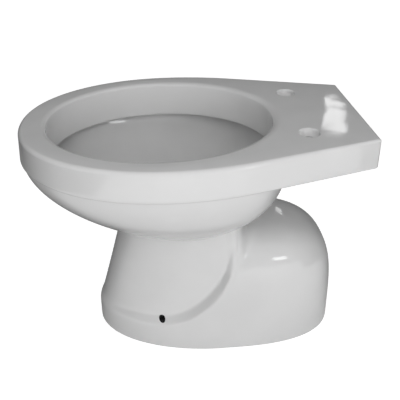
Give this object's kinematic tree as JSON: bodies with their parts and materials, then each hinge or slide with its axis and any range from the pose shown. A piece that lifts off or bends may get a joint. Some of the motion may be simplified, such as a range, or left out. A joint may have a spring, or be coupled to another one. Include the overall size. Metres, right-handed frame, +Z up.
{
  "type": "toilet bowl",
  "caption": "Floor-standing ceramic toilet pan with an oval open-flush rim, a flat seat deck, a waisted front column, a rounded rear hump and a floor outlet.",
  "frame": {"origin": "on the floor under the middle of the rim's length and width", "axes": "+X across the pan, -Y towards the round front, +Y towards the seat deck, +Z up from the floor"},
  "size_m": [0.358, 0.517, 0.39],
  "materials": {
    "china": "gloss",
    "china_bare": "matte"
  },
  "bodies": {
    "root": {"rim": "china", "bowl": "china", "pedestal": "china", "trapway": "china_bare", "outlet_spigot": "china_bare", "flush_inlet": "china"}
  },
  "joints": []
}
